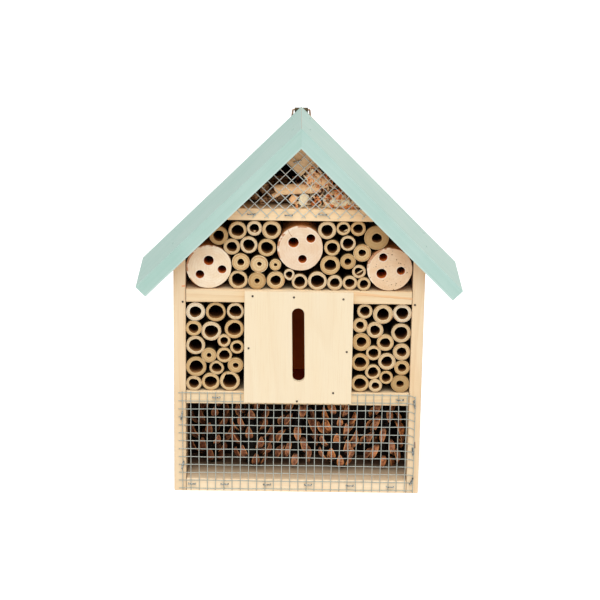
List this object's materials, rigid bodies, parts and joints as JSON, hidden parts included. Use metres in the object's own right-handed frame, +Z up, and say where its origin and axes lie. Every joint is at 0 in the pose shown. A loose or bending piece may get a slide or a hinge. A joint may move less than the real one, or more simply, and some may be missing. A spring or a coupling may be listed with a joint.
{
  "type": "insect hotel",
  "caption": "Small gabled wooden insect hotel filled with bamboo canes, drilled logs, pine cones and wood wool, with a slotted butterfly chamber and a hanging ring.",
  "frame": {"origin": "middle of the house's footprint, on the underside of the base", "axes": "+Z up, +X to the right seen from the front, the slotted front panel faces -Y"},
  "size_m": [0.241, 0.0759, 0.2891],
  "materials": {
    "pine": "raw planed pine",
    "plywood": "raw sanded plywood",
    "roof_paint": "pine with matt pale mint paint",
    "bamboo": "dry cut bamboo",
    "log_wood": "sawn birch with drilled holes",
    "cone_scales": "dry open pine cone",
    "bark": "rough bark",
    "wood_wool": "curled shavings",
    "galvanised_wire": "dull zinc",
    "staple_steel": "dull steel",
    "nail_steel": "dark flat nail heads",
    "hanger_steel": "dark bronzed strap",
    "ring_wire": "bronzed wire"
  },
  "bodies": {
    "house": {"attic_mesh": "galvanised_wire", "attic_mesh_staples": "staple_steel", "attic_shelf": "pine", "back_panel": "plywood", "back_panel_nails": "nail_steel", "bark_piece_1": "bark", "bark_piece_2": "bark", "bark_piece_3": "bark", "floor_board": "pine", "front_panel": "plywood", "front_panel_nails": "nail_steel", "hanger_screws": "nail_steel", "hanger_strap": "hanger_steel", "left_canes_row_1": "bamboo", "left_canes_row_2": "bamboo", "left_canes_row_3": "bamboo", "left_canes_row_4": "bamboo", "left_canes_row_5": "bamboo", "left_canes_row_6": "bamboo", "left_divider": "plywood", "left_log": "log_wood", "left_roof_board": "roof_paint", "left_roof_nails": "nail_steel", "left_side_wall": "pine", "lower_mesh": "galvanised_wire", "lower_mesh_staples": "staple_steel", "lower_shelf": "pine", "middle_log": "log_wood", "middle_shelf": "pine", "pine_cone_1": "cone_scales", "pine_cone_2": "cone_scales", "pine_cone_3": "cone_scales", "pine_cone_4": "cone_scales", "pine_cone_5": "cone_scales", "ridge_batten": "pine", "right_canes_row_1": "bamboo", "right_canes_row_2": "bamboo", "right_canes_row_3": "bamboo", "right_canes_row_4": "bamboo", "right_canes_row_5": "bamboo", "right_canes_row_6": "bamboo", "right_divider": "plywood", "right_log": "log_wood", "right_roof_board": "roof_paint", "right_roof_nails": "nail_steel", "right_side_wall": "pine", "upper_left_canes_base": "bamboo", "upper_left_canes_high": "bamboo", "upper_left_canes_low": "bamboo", "upper_left_canes_top": "bamboo", "upper_middle_canes": "bamboo", "upper_right_canes_base": "bamboo", "upper_right_canes_high": "bamboo", "upper_right_canes_low": "bamboo", "upper_right_canes_top": "bamboo", "wall_nails": "nail_steel", "wood_wool": "wood_wool"},
    "ring": {"hanger_ring": "ring_wire"}
  },
  "joints": [
    {"name": "ring_swing", "type": "hinge", "parent": "house", "child": "ring", "pos_m": [0, 0.03235, 0.2863], "axis": [1, 0, 0], "range_deg": [0, 180]}
  ]
}
